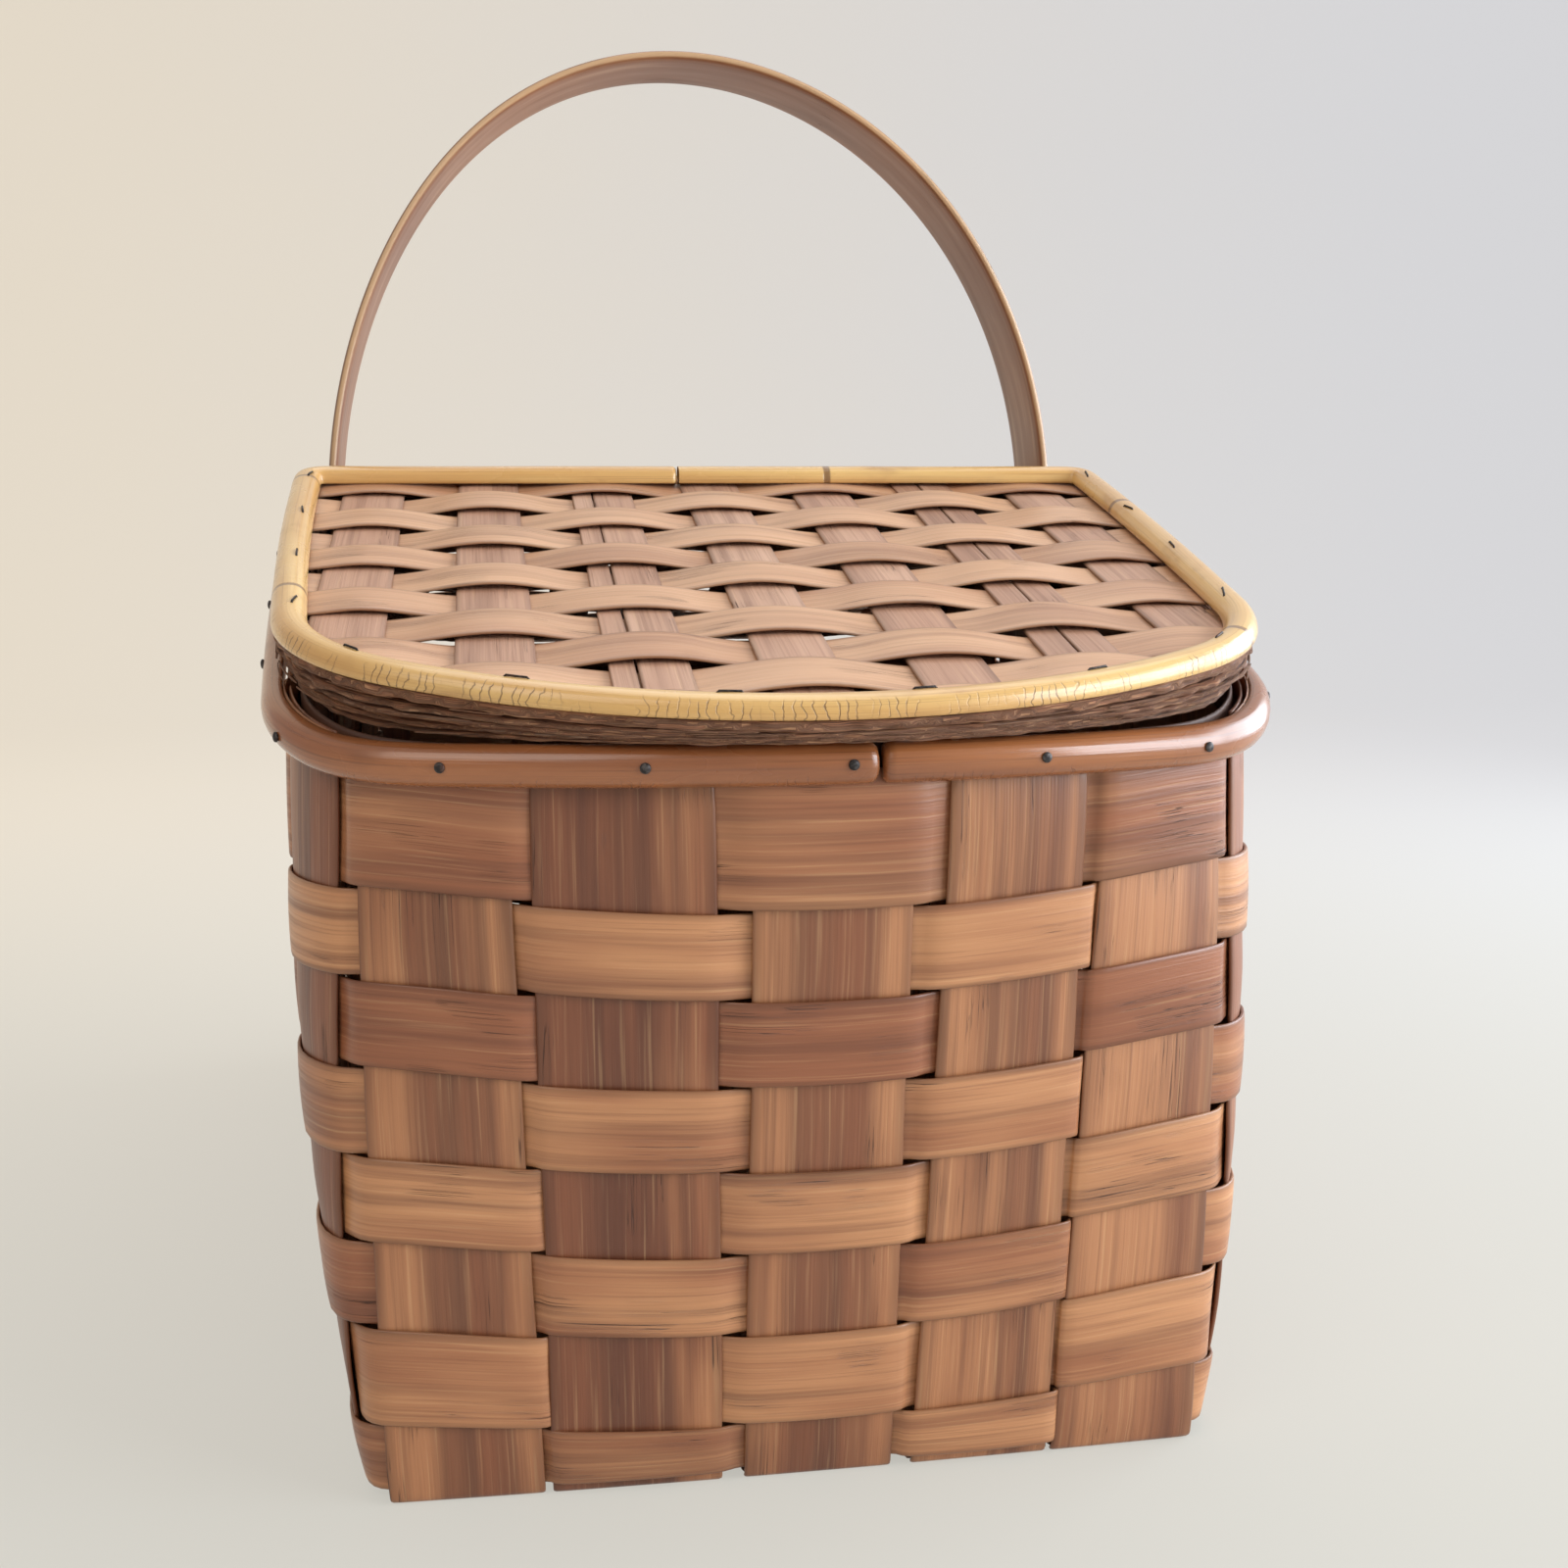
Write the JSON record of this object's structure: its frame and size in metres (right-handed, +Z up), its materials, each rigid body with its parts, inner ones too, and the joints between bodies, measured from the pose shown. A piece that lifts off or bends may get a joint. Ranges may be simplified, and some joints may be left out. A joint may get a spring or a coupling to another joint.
{
  "type": "picnic basket",
  "caption": "Splint-woven picnic basket with a fixed bentwood hoop handle across the middle and two pitched woven lids hinged beside it.",
  "frame": {"origin": "centre of the base, on the surface the basket stands on", "axes": "+Z up, Y along the basket's length with the front lid towards -Y, X across the basket along the hoop handle"},
  "size_m": [0.2774, 0.5388, 0.4045],
  "materials": {
    "stake_splint": "aged wood splint with dark heartwood stripes, dull satin",
    "weaver_splint": "aged honey-brown wood splint, satin",
    "rim_cane": "polished red-brown half-round cane",
    "inner_band": "dark flat wood band",
    "bark_band": "rough dark split cane with bark left on",
    "lid_cane": "yellow half-round cane with rings and fine cracks, glossy",
    "lid_strip": "smooth pale pinkish-tan wood strip",
    "lid_stake": "split and grained grey-brown wood strip",
    "handle_wood": "bent red-brown wood strap with paler edges",
    "bridge_wood": "plain aged wood",
    "nail_iron": "dark worn iron",
    "wire": "dark blackened wire"
  },
  "bodies": {
    "basket": {"back_hinge_rod": "bridge_wood", "back_stakes": "stake_splint", "base_cross_strips": "stake_splint", "base_long_strips": "stake_splint", "bridge": "bridge_wood", "bridge_nails": "nail_iron", "front_hinge_rod": "bridge_wood", "front_stakes": "stake_splint", "handle": "handle_wood", "handle_nails": "nail_iron", "left_stakes": "stake_splint", "right_stakes": "stake_splint", "rim_band": "inner_band", "rim_cane": "rim_cane", "rim_nails": "nail_iron", "upper_weaver_1_left": "weaver_splint", "upper_weaver_1_right": "weaver_splint", "upper_weaver_2_left": "weaver_splint", "upper_weaver_2_right": "weaver_splint", "upper_weaver_3_left": "weaver_splint", "upper_weaver_3_right": "weaver_splint", "weaver_row_1": "weaver_splint", "weaver_row_2": "weaver_splint", "weaver_row_3": "weaver_splint", "weaver_row_4": "weaver_splint", "weaver_row_5": "weaver_splint", "weaver_row_6": "weaver_splint", "weaver_row_7": "weaver_splint", "weaver_row_8": "weaver_splint"},
    "front_lid": {"front_lid_band": "bark_band", "front_lid_cane": "lid_cane", "front_lid_hinge_loops": "wire", "front_lid_stakes": "lid_stake", "front_lid_staples": "wire", "front_lid_strips": "lid_strip"},
    "back_lid": {"back_lid_band": "bark_band", "back_lid_cane": "lid_cane", "back_lid_hinge_loops": "wire", "back_lid_stakes": "lid_stake", "back_lid_staples": "wire", "back_lid_strips": "lid_strip"}
  },
  "joints": [
    {"name": "front_lid_hinge", "type": "hinge", "parent": "basket", "child": "front_lid", "pos_m": [0, -0.028, 0.258], "axis": [-1, 0, 0], "range_deg": [0, 102]},
    {"name": "back_lid_hinge", "type": "hinge", "parent": "basket", "child": "back_lid", "pos_m": [0, 0.028, 0.258], "axis": [1, 0, 0], "range_deg": [0, 102]}
  ]
}
